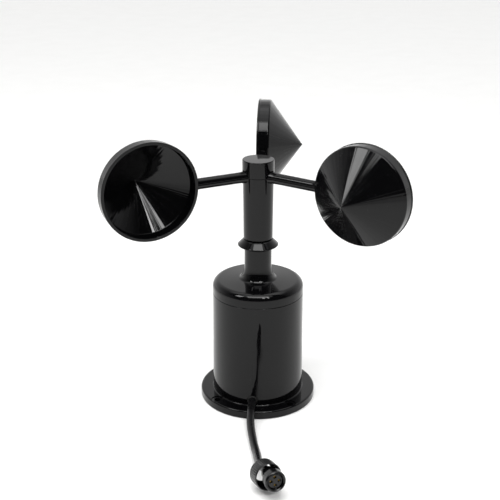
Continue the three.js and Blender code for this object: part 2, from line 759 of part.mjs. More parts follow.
// The coupling nut is open at the front, has a lip at the back, and is ribbed for the fingers.
function couplingNut() {
  const grip = new THREE.Shape();
  const step = TURN / nut.ribs;
  evenly(nut.ribs).forEach((angle, i) => {
    [[-0.3, 0], [-0.18, 0.35], [0.18, 0.35], [0.3, 0]].forEach(([turn, height], j) => {
      const radius = nut.radius - 0.35 + height;
      const x = radius * Math.cos(angle + turn * step);
      const y = radius * Math.sin(angle + turn * step);
      if (i === 0 && j === 0) grip.moveTo(x, y);
      else grip.lineTo(x, y);
    });
  });
  const bar = extrudeUp(grip, -nut.length, 0);
  const rounded = revolve([
    [0, -nut.length],
    [nut.radius - 0.9, -nut.length],
    [nut.radius + 0.1, -nut.length + 1],
    [nut.radius + 0.1, -0.8],
    [nut.radius - 0.7, 0],
    [0, 0],
  ], MEDIUM);
  const bore = rod(nut.bore, -nut.length + nut.lipThickness, 1, MEDIUM);
  return cut(common(bar, rounded), bore, rod(nut.lip, -nut.length - 1, 0, MEDIUM));
}

addTo(plugEnd, "plug_body", plugBody(), satinBlack);
addTo(plugEnd, "plug_insert", contactCarrier(), chipBlack);
contactAngles.forEach((angle, i) => {
  const pin = atAngle(rod(insert.contact, insert.back + 0.8, insert.front - 1, 8), insert.holeCircle, angle);
  addTo(plugEnd, `plug_contact_${i + 1}`, pin, brass);
});
addTo(nutEnd, "coupling_nut", couplingNut(), satinBlack);

export default part;
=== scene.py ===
"""Cup anemometer: the visible pieces and finishes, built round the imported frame.

The file is laid out as an add-on and run as a script. Outlines are drawn in millimetres, in the
frame's own axes, and each finished mesh is brought to metres.
"""

import math

import bmesh
import bpy
from bpy.props import FloatProperty, FloatVectorProperty, IntProperty, PointerProperty
from mathutils import Matrix, Vector


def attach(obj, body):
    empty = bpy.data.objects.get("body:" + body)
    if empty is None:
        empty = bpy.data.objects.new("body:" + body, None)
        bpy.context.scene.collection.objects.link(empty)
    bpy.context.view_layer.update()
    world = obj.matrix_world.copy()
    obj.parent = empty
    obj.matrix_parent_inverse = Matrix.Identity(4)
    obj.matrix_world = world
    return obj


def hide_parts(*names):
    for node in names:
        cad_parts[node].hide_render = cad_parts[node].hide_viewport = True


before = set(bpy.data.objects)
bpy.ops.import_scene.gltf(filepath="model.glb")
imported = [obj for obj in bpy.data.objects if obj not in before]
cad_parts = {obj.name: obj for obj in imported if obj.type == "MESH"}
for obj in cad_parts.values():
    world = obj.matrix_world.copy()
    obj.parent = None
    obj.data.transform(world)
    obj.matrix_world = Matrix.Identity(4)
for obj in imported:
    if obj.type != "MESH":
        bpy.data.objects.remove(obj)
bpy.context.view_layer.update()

bl_info = {
    "name": "Cup Anemometer",
    "version": (1, 0, 0),
    "blender": (4, 5, 0),
    "location": "View3D > Sidebar > Anemometer",
    "description": "Builds a three-cup wind sensor with its housing, hub, cups, cable and plug",
    "category": "Add Mesh",
}

MM = 0.001
QUARTER = math.pi / 2
TURN = 2 * math.pi


# ---------------------------------------------------------------- settings


def linear(hex_code):
    """Turn an sRGB hex colour into linear red, green and blue."""
    channels = [int(hex_code[i : i + 2], 16) / 255 for i in (0, 2, 4)]
    return tuple(c / 12.92 if c <= 0.04045 else ((c + 0.055) / 1.055) ** 2.4 for c in channels)


def length_setting(name, description, millimetres):
    return FloatProperty(
        name=name, description=description, default=millimetres * MM, unit="LENGTH", precision=4
    )


def angle_setting(name, description, degrees):
    return FloatProperty(
        name=name, description=description, default=math.radians(degrees), subtype="ANGLE"
    )


def colour_setting(name, description, hex_code):
    return FloatVectorProperty(
        name=name, description=description, default=linear(hex_code), subtype="COLOR", min=0.0, max=1.0
    )


class HousingSizes(bpy.types.PropertyGroup):
    """Sizes of the fixed mouldings."""

    flange_radius: length_setting("Flange radius", "Outer radius of the screw-down flange", 39.65)
    flange_thickness: length_setting("Flange thickness", "Height of the flange's top face", 5.5)
    foot_radius: length_setting("Foot radius", "Wall radius where it meets the flange", 31.1)
    wall_radius: length_setting("Wall radius", "Wall radius at the seam", 30.75)
    seam: length_setting("Seam height", "Height of the joint between housing and cover", 77.2)
    crown: length_setting("Crown height", "Height where the flare of the neck starts", 87.3)
    neck_radius: length_setting("Neck radius", "Radius of the tube under the collar", 9.15)
    neck_top: length_setting("Neck height", "Height of the top of the neck", 112.0)
    fixing_circle: length_setting("Fixing circle", "Radius of the circle of fixing holes", 35.3)
    outlet_height: length_setting("Outlet height", "Height of the cable outlet's centre", 9.3)


class RotorSizes(bpy.types.PropertyGroup):
    """Sizes of the turning mouldings."""

    hub_bottom: length_setting("Hub bottom", "Height of the sleeve's lower end", 116.0)
    arm_height: length_setting("Arm height", "Height of the arms' middle plane", 159.5)
    cap_radius: length_setting("Cap radius", "Radius of the hub cap", 10.5)
    cap_top: length_setting("Cap top", "Height of the hub cap's face", 170.4)
    cup_offset: length_setting("Cup offset", "Distance from the axis to a cup's centre", 76.5)
    cup_radius: length_setting("Cup radius", "Outer radius of a cup's band", 31.8)
    cup_count: IntProperty(name="Cups", description="Number of arms and cups", default=3, min=2, max=6)
    rest_angle: angle_setting("Rest angle", "Direction of the first arm at rest", 93.1)


class LeadSizes(bpy.types.PropertyGroup):
    """Sizes of the cable and its plug."""

    cable_radius: length_setting("Cable radius", "Half the cable's diameter", 2.65)
    barrel_radius: length_setting("Barrel radius", "Outer radius of the plug's barrel", 6.5)
    nut_radius: length_setting("Nut radius", "Outer radius over the coupling nut's ribs", 8.7)
    nut_length: length_setting("Nut length", "Length of the coupling nut", 10.6)
    rib_count: IntProperty(name="Ribs", description="Finger ribs round the coupling nut", default=40, min=8)


class Finishes(bpy.types.PropertyGroup):
    """Base colours of the finishes."""

    gloss_black: colour_setting("Gloss black", "Polished moulding colour", "0A0A0B")
    satin_black: colour_setting("Satin black", "Plug and bottom plate colour", "161617")
    jacket_black: colour_setting("Jacket black", "Cable jacket colour", "141415")
    floor: colour_setting("Floor", "Paper floor colour", "F4F4F3")


class StudioSettings(bpy.types.PropertyGroup):
    """Place and lens of the studio's camera."""

    distance: length_setting("Distance", "Level distance from the axis to the camera", 637.3)
    height: length_setting("Height", "Camera height over the floor", 356.3)
    sideways: length_setting("Sideways", "Camera shift to the left of the axis", 5.4)
    turn: angle_setting("Turn", "Direction of the camera round the axis", 7.0)
    pitch: angle_setting("Pitch", "How far the camera looks down", 21.37)
    lens: FloatProperty(
        name="Lens", description="Focal length on a 36 mm sensor", default=73.4, unit="CAMERA"
    )


def in_millimetres(group):
    """Read a settings group with its lengths in millimetres."""
    values = {}
    for key, prop in group.bl_rna.properties.items():
        if key in {"rna_type", "name"}:
            continue
        value = getattr(group, key)
        values[key] = value / MM if getattr(prop, "unit", "") == "LENGTH" else value
    return type("Sizes", (), values)


# ---------------------------------------------------------------- mesh helpers


# Millimetres below which a spun or a cut shape's points are one point.
SPUN_WELD = 0.001
CUT_WELD = 0.002
CORNER_SEGMENTS = 4
# Edges turning by more than this many degrees stay sharp.
SHARP_DEGREES = 32.0


def outline_edges(bm, corners):
    """Draw a closed outline in the XZ plane.

    A third value in a corner rounds it to that radius, and a fourth says in how many segments.
    """
    verts = [bm.verts.new((corner[0], 0, corner[1])) for corner in corners]
    for pair in zip(verts, [*verts[1:], verts[0]]):
        bm.edges.new(pair)
    for vert, corner in zip(verts, corners):
        if len(corner) > 2:
            bmesh.ops.bevel(
                bm,
                geom=[vert],
                offset=corner[2],
                offset_type="OFFSET",
                segments=corner[3] if len(corner) > 3 else CORNER_SEGMENTS,
                profile=0.5,
                material=-1,
                affect="VERTICES",
            )


def turned(corners, facets=128):
    """Spin a rounded outline about the Z axis into a closed body."""
    bm = bmesh.new()
    outline_edges(bm, corners)
    bmesh.ops.spin(
        bm,
        geom=bm.verts[:] + bm.edges[:],
        cent=(0, 0, 0),
        axis=(0, 0, 1),
        angle=TURN,
        steps=facets,
        use_merge=True,
    )
    bmesh.ops.remove_doubles(bm, verts=bm.verts[:], dist=SPUN_WELD)
    bmesh.ops.recalc_face_normals(bm, faces=bm.faces[:])
    return bm


def cylinder(radius, bottom, top, facets=48):
    """A plain closed cylinder, used as a cutter or as the start of a shape."""
    bm = bmesh.new()
    bmesh.ops.create_cone(
        bm, cap_ends=True, cap_tris=False, segments=facets, radius1=radius, radius2=radius, depth=top - bottom
    )
    bmesh.ops.translate(bm, vec=(0, 0, (top + bottom) / 2), verts=bm.verts[:])
    return bm


def box(width, depth, height, centre=(0, 0, 0)):
    """A closed block."""
    bm = bmesh.new()
    bmesh.ops.create_cube(bm, size=1)
    bmesh.ops.scale(bm, vec=(width, depth, height), verts=bm.verts[:])
    bmesh.ops.translate(bm, vec=centre, verts=bm.verts[:])
    return bm


def placed(bm, matrix):
    """Move a shape by a matrix."""
    bmesh.ops.transform(bm, matrix=matrix, verts=bm.verts[:])
    return bm


def gathered(shapes):
    """Put several shapes in one bmesh."""
    whole = bmesh.new()
    for shape in shapes:
        mesh = bpy.data.meshes.new("gathered")
        shape.to_mesh(mesh)
        shape.free()
        whole.from_mesh(mesh)
        bpy.data.meshes.remove(mesh)
    return whole


def turn_z(angle):
    return Matrix.Rotation(angle, 4, "Z")


def shift(x=0.0, y=0.0, z=0.0):
    return Matrix.Translation((x, y, z))


def aimed(origin, heading, tilt):
    """The matrix that lays the Z axis along a heading over the floor, tilted up from it."""
    return shift(*origin) @ turn_z(heading) @ Matrix.Rotation(QUARTER - tilt, 4, "Y")


def evenly(count, start=0.0):
    return [start + TURN * i / count for i in range(count)]


def numbered(stem, count):
    return [f"{stem}_{number}" for number in range(1, count + 1)]


# The fixing holes and the plate's screws stand on the diagonals.
DIAGONALS = evenly(4, QUARTER / 2)


def bare_object(name, bm):
    mesh = bpy.data.meshes.new(name)
    bm.to_mesh(mesh)
    bm.free()
    obj = bpy.data.objects.new(name, mesh)
    bpy.context.scene.collection.objects.link(obj)
    return obj


def combined(body, tools, operation="DIFFERENCE"):
    """Cut tools out of a body, or join them to it, and return the result as a bmesh."""
    target = bare_object("target", body)
    cutters = []
    for tool in tools:
        cutter = bare_object("cutter", tool)
        cutters.append(cutter)
        modifier = target.modifiers.new("Combine", "BOOLEAN")
        modifier.operation = operation
        modifier.solver = "EXACT"
        modifier.object = cutter
    depsgraph = bpy.context.evaluated_depsgraph_get()
    mesh = bpy.data.meshes.new_from_object(target.evaluated_get(depsgraph))
    result = bmesh.new()
    result.from_mesh(mesh)
    for used in [target, *cutters]:
        data = used.data
        bpy.data.objects.remove(used)
        bpy.data.meshes.remove(data)
    bpy.data.meshes.remove(mesh)
    bmesh.ops.remove_doubles(result, verts=result.verts[:], dist=CUT_WELD)
    if not result.faces:
        raise RuntimeError("a combined shape came out empty")
    return result


def finish_piece(name, bm, finish, body, replaced):
    """Bring a shape to metres, smooth it, and hand it to its body in place of a frame node."""
    bmesh.ops.scale(bm, vec=(MM, MM, MM), verts=bm.verts[:])
    limit = math.radians(SHARP_DEGREES)
    for face in bm.faces:
        face.smooth = True
    for edge in bm.edges:
        edge.smooth = edge.calc_face_angle(0.0) < limit
    piece = bare_object(name, bm)
    piece.data.materials.append(MATERIALS[finish])
    weighted = piece.modifiers.new("Weighted normals", "WEIGHTED_NORMAL")
    weighted.keep_sharp = True
    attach(piece, body)
    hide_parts(replaced)
    return piece


# ---------------------------------------------------------------- material helpers


def add_node(tree, kind, inputs=None, **settings):
    """Add a node, set it up, and link or set its inputs."""
    node = tree.nodes.new(kind)
    for key, value in settings.items():
        setattr(node, key, value)
    for key, value in (inputs or {}).items():
        socket = node.inputs[key]
        if isinstance(value, bpy.types.NodeSocket):
            tree.links.new(value, socket)
        else:
            socket.default_value = value
    return node


SOCKET_NAMES = {"ior": "IOR", "metallic": "Metallic"}


def start_material(name, colour, roughness, **constants):
    """A material with a set-up Principled shader; returns it, its tree, shader and position socket."""
    material = bpy.data.materials.new(name)
    material.use_nodes = True
    tree = material.node_tree
    shader = tree.nodes["Principled BSDF"]
    shader.inputs["Base Color"].default_value = (*colour, 1)
    shader.inputs["Roughness"].default_value = roughness
    for key, value in constants.items():
        shader.inputs[SOCKET_NAMES[key]].default_value = value
    coordinates = add_node(tree, "ShaderNodeTexCoord")
    return material, tree, shader, coordinates.outputs["Object"]


def per_metre(millimetres):
    """Texture scale for a pattern whose cells are this many millimetres across."""
    return 1 / (millimetres * MM)


def noise(tree, position, cell, detail=2.0, rough=0.5):
    return add_node(
        tree,
        "ShaderNodeTexNoise",
        {"Vector": position, "Scale": per_metre(cell), "Detail": detail, "Roughness": rough},
    ).outputs["Fac"]


def ranged(tree, value, low, high, to_low, to_high):
    """Map a value from one range to another, held inside it."""
    return add_node(
        tree,
        "ShaderNodeMapRange",
        {"Value": value, "From Min": low, "From Max": high, "To Min": to_low, "To Max": to_high},
    ).outputs["Result"]


def mixed_colours(tree, factor, first, second):
    node = add_node(tree, "ShaderNodeMix", data_type="RGBA")
    for index, value in ((0, factor), (6, first), (7, second)):
        socket = node.inputs[index]
        if isinstance(value, bpy.types.NodeSocket):
            tree.links.new(value, socket)
        else:
            socket.default_value = value
    return node.outputs[2]


def maths(tree, first, second, operation="ADD"):
    """Add two values, or join them by another operation."""
    return add_node(tree, "ShaderNodeMath", {0: first, 1: second}, operation=operation).outputs[0]


def bumped(tree, shader, height, distance_mm, strength=1.0):
    bump = add_node(
        tree, "ShaderNodeBump", {"Height": height, "Strength": strength, "Distance": distance_mm * MM}
    )
    tree.links.new(bump.outputs["Normal"], shader.inputs["Normal"])


# Flow ribs are about a fourteenth of the cup's radius apart at its rim.
FLOW_RIBS_PER_UNIT = 14.0
# How many times higher the ribs are than the gentle waves of the polished skin.
FLOW_RIB_HEIGHT = 14.0
FLOOR_GLOW = 0.06


def gloss_abs(finishes, name="Polished black ABS moulding", flow_lines=False):
    """ABS from a polished mould: mirror gloss over deep black, with a faint flow waviness and dust."""
    material, tree, shader, position = start_material(name, finishes.gloss_black, 0.07, ior=1.32)
    # Regrind and flow lines vary the black over some 30 mm.
    cloud = noise(tree, position, 30, 3)
    base = mixed_colours(tree, cloud, (*linear("040405"), 1), (*linear("09090A"), 1))
    # Settled dust is 0.2 to 0.4 mm across, drawn as sparse pale specks.
    specks = add_node(
        tree,
        "ShaderNodeTexVoronoi",
        {"Vector": position, "Scale": per_metre(2.6), "Randomness": 1.0},
        feature="F1",
    )
    speck = ranged(tree, specks.outputs["Distance"], 0.03, 0.07, 1.0, 0.0)
    thin = ranged(tree, noise(tree, position, 17, 1), 0.56, 0.62, 0.0, 0.35)
    dust = maths(tree, speck, thin, "MULTIPLY")
    tree.links.new(mixed_colours(tree, dust, base, (*linear("8A8A88"), 1)), shader.inputs["Base Color"])
    # Handling leaves soft smears of slightly duller gloss, about 12 mm wide.
    smear = ranged(tree, noise(tree, position, 12, 4, 0.6), 0.45, 0.75, 0.045, 0.13)
    tree.links.new(maths(tree, smear, maths(tree, dust, 0.4, "MULTIPLY")), shader.inputs["Roughness"])
    # Shrinkage makes the polished skin wave gently every 9 mm.
    waves = noise(tree, position, 9, 1)
    if flow_lines:
        # Plastic fed in at a cone's tip sets in faint ribs that run out along the cone.
        around = add_node(tree, "ShaderNodeUVMap", uv_map="flow").outputs["UV"]
        ribs = add_node(
            tree,
            "ShaderNodeTexNoise",
            {"Vector": around, "Scale": FLOW_RIBS_PER_UNIT, "Detail": 1.5, "Roughness": 0.5},
        ).outputs["Fac"]
        waves = maths(tree, waves, maths(tree, ribs, FLOW_RIB_HEIGHT, "MULTIPLY"))
    bumped(tree, shader, waves, 0.02, 0.5)
    return material


def satin_nylon(finishes):
    """Glass-filled nylon of the plug: satin, with a fine spark-eroded grain."""
    material, tree, shader, position = start_material(
        "Satin black nylon moulding", finishes.satin_black, 0.2, ior=1.4
    )
    cloud = noise(tree, position, 6, 3)
    tone = mixed_colours(tree, cloud, (*linear("060607"), 1), (*linear("0D0D0E"), 1))
    tree.links.new(tone, shader.inputs["Base Color"])
    tree.links.new(ranged(tree, cloud, 0.3, 0.7, 0.13, 0.22), shader.inputs["Roughness"])
    # Spark-eroded grain is about 0.15 mm; drawn at 0.3 mm so that it shows.
    bumped(tree, shader, noise(tree, position, 0.3, 2), 0.012, 0.3)
    return material


def pvc_jacket(finishes):
    """Extruded PVC jacket: smooth, soft gloss, slightly rippled by the cores inside."""
    material, tree, shader, position = start_material(
        "Extruded black PVC jacket", finishes.jacket_black, 0.3, ior=1.36
    )
    cloud = noise(tree, position, 8, 2)
    tone = mixed_colours(tree, cloud, (*linear("0A0A0B"), 1), (*linear("111112"), 1))
    tree.links.new(tone, shader.inputs["Base Color"])
    tree.links.new(ranged(tree, cloud, 0.35, 0.65, 0.26, 0.36), shader.inputs["Roughness"])
    bumped(tree, shader, noise(tree, position, 4, 1), 0.03, 0.2)
    return material


def moulded_rubber():
    """Nitrile rubber: matt, dark grey where it has rubbed."""
    material, tree, shader, position = start_material("Moulded black nitrile rubber", linear("131313"), 0.7)
    bloom = noise(tree, position, 2, 4)
    tone = mixed_colours(tree, bloom, (*linear("0E0E0E"), 1), (*linear("1F1F1E"), 1))
    tree.links.new(tone, shader.inputs["Base Color"])
    bumped(tree, shader, noise(tree, position, 0.25, 2), 0.03, 0.6)
    return material


def turned_metal(name, low, high, roughness, groove_mm):
    """A metal turned or ground on a lathe: fine rings across its axis, broken by faint stains."""
    material, tree, shader, position = start_material(name, linear(high), roughness, metallic=1.0)
    stain = noise(tree, position, 4, 4)
    tree.links.new(
        mixed_colours(tree, stain, (*linear(low), 1), (*linear(high), 1)), shader.inputs["Base Color"]
    )
    rings = add_node(
        tree,
        "ShaderNodeTexWave",
        {"Vector": position, "Scale": per_metre(groove_mm) / TURN, "Distortion": 0.6, "Detail": 2.0},
        bands_direction="Z",
    ).outputs["Fac"]
    spread = ranged(tree, stain, 0.3, 0.7, roughness * 0.8, roughness * 1.3)
    tree.links.new(spread, shader.inputs["Roughness"])
    bumped(tree, shader, rings, 0.004, 0.5)
    return material


def solder_mask():
    """Green solder mask over copper: paler lines where the tracks run under it."""
    material, tree, shader, position = start_material("Green solder mask over copper", linear("14532D"), 0.35)
    tracks = add_node(
        tree,
        "ShaderNodeTexBrick",
        {
            "Vector": position,
            "Scale": per_metre(1),
            "Color1": (*linear("1B6B3A"), 1),
            "Color2": (*linear("165A31"), 1),
            "Mortar": (*linear("0E4022"), 1),
            "Mortar Size": 0.18,
            "Brick Width": 7.0,
            "Row Height": 1.3,
        },
    )
    tree.links.new(tracks.outputs["Color"], shader.inputs["Base Color"])
    bumped(tree, shader, tracks.outputs["Fac"], 0.035, 0.5)
    return material


def matt_compound(name, low, high, roughness):
    """Moulding compound of chips and sockets: matt with fine filler grain."""
    material, tree, shader, position = start_material(name, linear(high), roughness)
    grain = noise(tree, position, 0.4, 3)
    tree.links.new(
        mixed_colours(tree, grain, (*linear(low), 1), (*linear(high), 1)), shader.inputs["Base Color"]
    )
    bumped(tree, shader, grain, 0.02, 0.5)
    return material


def paper_floor(finishes):
    """Seamless paper sweep: matt and nearly white, with a barely visible fibre tone."""
    material, tree, shader, position = start_material("White background paper", finishes.floor, 0.9)
    fibre = noise(tree, position, 40, 2)
    tone = mixed_colours(tree, fibre, (*linear("F2F2F1"), 1), (*linear("F8F8F7"), 1))
    tree.links.new(tone, shader.inputs["Base Color"])
    # Light from under the translucent sheet fills the contact shadows.
    shader.inputs["Emission Color"].default_value = (1, 1, 1, 1)
    shader.inputs["Emission Strength"].default_value = FLOOR_GLOW
    return material


MATERIALS = {}


def make_materials(finishes):
    MATERIALS.update(
        gloss=gloss_abs(finishes),
        cup=gloss_abs(finishes, "Polished black ABS fed from the tip", flow_lines=True),
        satin=satin_nylon(finishes),
        jacket=pvc_jacket(finishes),
        rubber=moulded_rubber(),
        bearing=turned_metal("Ground bearing steel", "B8BBC0", "E3E5E8", 0.16, 0.4),
        zinc=turned_metal("Bright zinc plating", "9FA3A8", "D5D8DB", 0.32, 0.5),
        aluminium=turned_metal("Fine turned aluminium", "B4B6BA", "DEDFE1", 0.3, 0.35),
        brass=turned_metal("Turned brass", "A8843A", "D9BC6B", 0.26, 0.35),
        board=solder_mask(),
        chip=matt_compound("Black epoxy compound", "050506", "0A0A0B", 0.42),
        socket=matt_compound("Ivory nylon", "CFC8B4", "E4DFCF", 0.45),
        paper=paper_floor(finishes),
    )


# ---------------------------------------------------------------- stage


# Name, direction round the table from the camera's side, height angle, width, height and glow.
PANELS = (
    ("narrow strip", 39, 47.5, 0.04, 0.22, 26),
    ("wide strip", 24, 47.5, 0.08, 0.22, 16),
    ("left softbox", -57, 47.5, 0.3, 0.3, 11),
    ("front softbox", 6, 63, 0.7, 0.4, 6),
)
PANEL_DISTANCE = 1.0
PANEL_AIM = Vector((0, 0, 0.14))
FLOOR_REACH = 60.0
# The flange's underside is at zero, so the paper lies just under it and the two never share a plane.
FLOOR_GAP = 0.0002


def soft_panel(name, across, up, size, glow):
    """A flat lamp facing the cups, as bright all over as its glow says."""
    light = bpy.data.lights.new(name, "AREA")
    light.shape = "RECTANGLE"
    light.size, light.size_y = size
    light.energy = glow * math.pi * size[0] * size[1]
    toward = Vector((math.sin(across) * math.cos(up), -math.cos(across) * math.cos(up), math.sin(up)))
    panel = bpy.data.objects.new(name, light)
    panel.location = toward * PANEL_DISTANCE + PANEL_AIM
    panel.rotation_euler = toward.to_track_quat("Z", "Y").to_euler()
    panel.visible_camera = False
    bpy.context.scene.collection.objects.link(panel)


def light_tent():
    """A tent of white cloth: bright above and behind, faint at the left, dark by the camera."""
    world = bpy.data.worlds.new("light_tent")
    world.use_nodes = True
    tree = world.node_tree
    direction = add_node(tree, "ShaderNodeTexCoord").outputs["Generated"]
    axes = add_node(tree, "ShaderNodeSeparateXYZ", {"Vector": direction}).outputs
    behind = ranged(tree, axes["Y"], -0.2, 0.6, 0.02, 1.0)
    low = ranged(tree, axes["Z"], 0.1, 0.6, 1.25, 0.85)
    roof = ranged(tree, axes["Z"], 0.76, 0.92, 0.0, 1.7)
    left = ranged(tree, axes["X"], -0.95, -0.7, 0.35, 0.0)
    total = maths(tree, maths(tree, maths(tree, behind, low, "MULTIPLY"), roof), left)
    background = tree.nodes["Background"]
    background.inputs["Color"].default_value = (1, 1, 1, 1)
    tree.links.new(total, background.inputs["Strength"])
    return world


class ANEMOMETER_OT_stage(bpy.types.Operator):
    """Set the camera, the floor and the soft lights"""

    bl_idname = "anemometer.stage"
    bl_label = "Stage"

    def execute(self, context):
        scene = context.scene
        studio = scene.anemometer_studio
        camera = bpy.data.cameras.new("camera")
        camera.sensor_width = 36
        camera.lens = studio.lens
        viewer = bpy.data.objects.new("camera", camera)
        scene.collection.objects.link(viewer)
        spot = Vector((-studio.sideways, -studio.distance, studio.height))
        viewer.location = Matrix.Rotation(studio.turn, 3, "Z") @ spot
        viewer.rotation_euler = (QUARTER - studio.pitch, 0, studio.turn)
        scene.camera = viewer

        make_materials(scene.anemometer_finishes)
        sheet = bmesh.new()
        bmesh.ops.create_grid(sheet, x_segments=8, y_segments=8, size=FLOOR_REACH)
        bmesh.ops.translate(sheet, vec=(0, 0, -FLOOR_GAP), verts=sheet.verts[:])
        floor = bare_object("paper_floor", sheet)
        floor.data.materials.append(MATERIALS["paper"])

        scene.world = light_tent()
        for name, across, up, width, height, glow in PANELS:
            soft_panel(name, math.radians(across), math.radians(up), (width, height), glow)
        scene.view_settings.view_transform = "Standard"
        return {"FINISHED"}


# ---------------------------------------------------------------- cable

CABLE_ROUTE = [
    (0, -24.5, 9.3), (0, -28, 9.3), (0, -32, 9.2), (0.1, -37, 8.9), (0.3, -42, 8.5),
    (0.8, -47.5, 7.8), (1.4, -53, 6.7), (2.4, -59, 5.4), (3.8, -65, 4.2), (5.3, -71, 3.3),
    (6.8, -77, 3.0), (8.4, -83, 3.3), (9.9, -89, 4.2), (11.1, -95, 5.5), (12.3, -100.5, 6.8),
    (13.5, -105.0, 8.2), (14.9, -108.6, 9.5), (16.5, -111.6, 10.25), (18.1, -114.8, 10.75),
    (19.55, -117.85, 11.25), (21.15, -121.25, 11.87),
]


class ANEMOMETER_OT_cable(bpy.types.Operator):
    """Lay the cable from its outlet over the flange to the plug"""

    bl_idname = "anemometer.cable"
    bl_label = "Cable"

    def execute(self, context):
        lead = context.scene.anemometer_lead
        curve = bpy.data.curves.new("cable_jacket", "CURVE")
        curve.dimensions = "3D"
        curve.bevel_depth = lead.cable_radius
        curve.bevel_resolution = 8
        curve.resolution_u = 8
        curve.use_fill_caps = True
        spline = curve.splines.new("BEZIER")
        spline.bezier_points.add(len(CABLE_ROUTE) - 1)
        for point, place in zip(spline.bezier_points, CABLE_ROUTE):
            point.co = Vector(place) * MM
            point.handle_left_type = point.handle_right_type = "AUTO"
        cable = bpy.data.objects.new("cable_jacket", curve)
        context.scene.collection.objects.link(cable)
        curve.materials.append(MATERIALS["jacket"])
        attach(cable, "stator")
        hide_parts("cable")
        return {"FINISHED"}


# ---------------------------------------------------------------- housing


def fixing_hole_cutter(flange_top):
    """A screw hole with the shallow spot face that lets its head clear the wall."""
    hole, spot, clear = 2.1, 4.1, 7.5
    seat = flange_top - 0.5
    return turned([(0, -1), (hole, -1), (hole, seat), (spot, seat), (spot, clear), (0, clear)], 48)


def coring_cutters(sizes):
    """Pockets that core out the flange's underside between its ribs and screw bosses."""
    inner, outer, depth = 32.3, 37.5, 3.4
    web, webs_round, boss = 1.3, 8, 4.4
    pocket = turned([(inner, -1), (outer, -1), (outer, depth, 0.4), (inner, depth, 0.4)], 96)
    bosses = [
        placed(cylinder(boss, -2, depth + 1), turn_z(angle) @ shift(sizes.fixing_circle))
        for angle in DIAGONALS
    ]
    middle = ((inner + outer) / 2, 0, depth / 2)
    webs = [
        placed(box(outer - inner + 2, web, depth + 3, middle), turn_z(angle))
        for angle in evenly(webs_round)
    ]
    return [combined(pocket, [gathered(bosses), gathered(webs)])]


def witness_cutters(sizes):
    """Fine grooves up the front and back, where the mould's halves met.

    The wall drafts inwards, so they grow shallower upwards and run out below the seam.
    """
    width, depth, stand_off = 0.45, 1.0, 0.55
    length = sizes.seam - 14
    middle = sizes.seam / 2 + 8
    reach = sizes.wall_radius + stand_off
    return gathered(box(width, depth, length, (0, side * reach, middle)) for side in (-1, 1))


class ANEMOMETER_OT_housing(bpy.types.Operator):
    """Mould the flange and the tall wall, with fixing holes and the cable outlet"""

    bl_idname = "anemometer.housing"
    bl_label = "Housing"

    def execute(self, context):
        s = in_millimetres(context.scene.anemometer_housing)
        recess, bore, room = 29.7, 28.2, 28.5
        plate_seat, bore_end = 3.2, 66
        wall = turned(
            [
                (recess, 0, 0.3),
                (s.flange_radius, 0, 0.5),
                (s.flange_radius, s.flange_thickness, 1.1, 6),
                (s.foot_radius, s.flange_thickness, 0.8, 6),
                (s.wall_radius, s.seam, 0.4),
                (bore, s.seam, 0.2),
                (bore, bore_end),
                (room, bore_end - 0.3),
                (room, plate_seat),
                (recess, plate_seat),
            ],
            160,
        )
        holes = [
            placed(fixing_hole_cutter(s.flange_thickness), turn_z(angle) @ shift(s.fixing_circle))
            for angle in DIAGONALS
        ]
        forward = Matrix.Rotation(QUARTER, 4, "X")
        outlet = placed(cylinder(3.75, -4, 8), shift(0, -31, s.outlet_height) @ forward)
        shape = combined(wall, [gathered(holes), outlet, witness_cutters(s), *coring_cutters(s)])
        finish_piece("housing_moulding", shape, "gloss", "stator", "housing")
        return {"FINISHED"}


def cross_recess(depth=0.9):
    """The cross that a screwdriver fits, as a cutter through z = 0 that narrows upwards."""
    blades = []
    for turn in (0, QUARTER):
        blade = box(3.0, 0.7, 2 * depth)
        deep_end = [vert for vert in blade.verts if vert.co.z > 0]
        bmesh.ops.scale(blade, vec=(0.45, 0.7, 1), verts=deep_end)
        blades.append(placed(blade, turn_z(turn)))
    first, second = blades
    return combined(first, [second], "UNION")


def countersunk_screw(length=11.0):
    """A flat-head screw pointing up, its face at z = 0, with a rolled thread drawn as rings."""
    pitch = 1.0
    corners = [(0, 0), (2.7, 0, 0.08), (2.7, 0.3, 0.08), (1.2, 1.7)]
    rings = int((length - 2.5) / pitch)
    for i in range(rings):
        base = 2.0 + i * pitch
        corners += [(0.95, base), (1.2, base + 0.35), (1.2, base + 0.45)]
    corners += [(0.9, length - 0.5), (0.5, length), (0, length)]
    return combined(turned(corners, 40), [cross_recess()])


PLATE_SCREW_CIRCLE = 24.8


class ANEMOMETER_OT_bottom(bpy.types.Operator):
    """Fit the bottom plate and its four countersunk screws"""

    bl_idname = "anemometer.bottom"
    bl_label = "Bottom plate"

    def execute(self, context):
        rim, top = 29.4, 2.4
        groove = [(24.0, 0), (24.3, 0.35), (25.6, 0.35), (25.9, 0)]
        plate = turned([(0, 0), *groove, (rim, 0, 0.3), (rim, top, 0.2), (0, top)])
        sinks = [
            placed(
                turned([(0, -0.2), (3.0, -0.2), (3.0, 0.35), (1.5, 1.8), (1.5, 3), (0, 3)], 48),
                turn_z(angle) @ shift(PLATE_SCREW_CIRCLE),
            )
            for angle in DIAGONALS
        ]
        shape = combined(plate, [gathered(sinks)])
        finish_piece("bottom_plate_moulding", shape, "satin", "stator", "bottom_plate")
        for number, angle in enumerate(DIAGONALS, 1):
            screw = placed(countersunk_screw(), turn_z(angle) @ shift(PLATE_SCREW_CIRCLE, 0, 0.02))
            finish_piece(f"plate_screw_{number}", screw, "zinc", "stator", f"bottom_screw_{number}")
        return {"FINISHED"}


NECK_BORE = 7.3


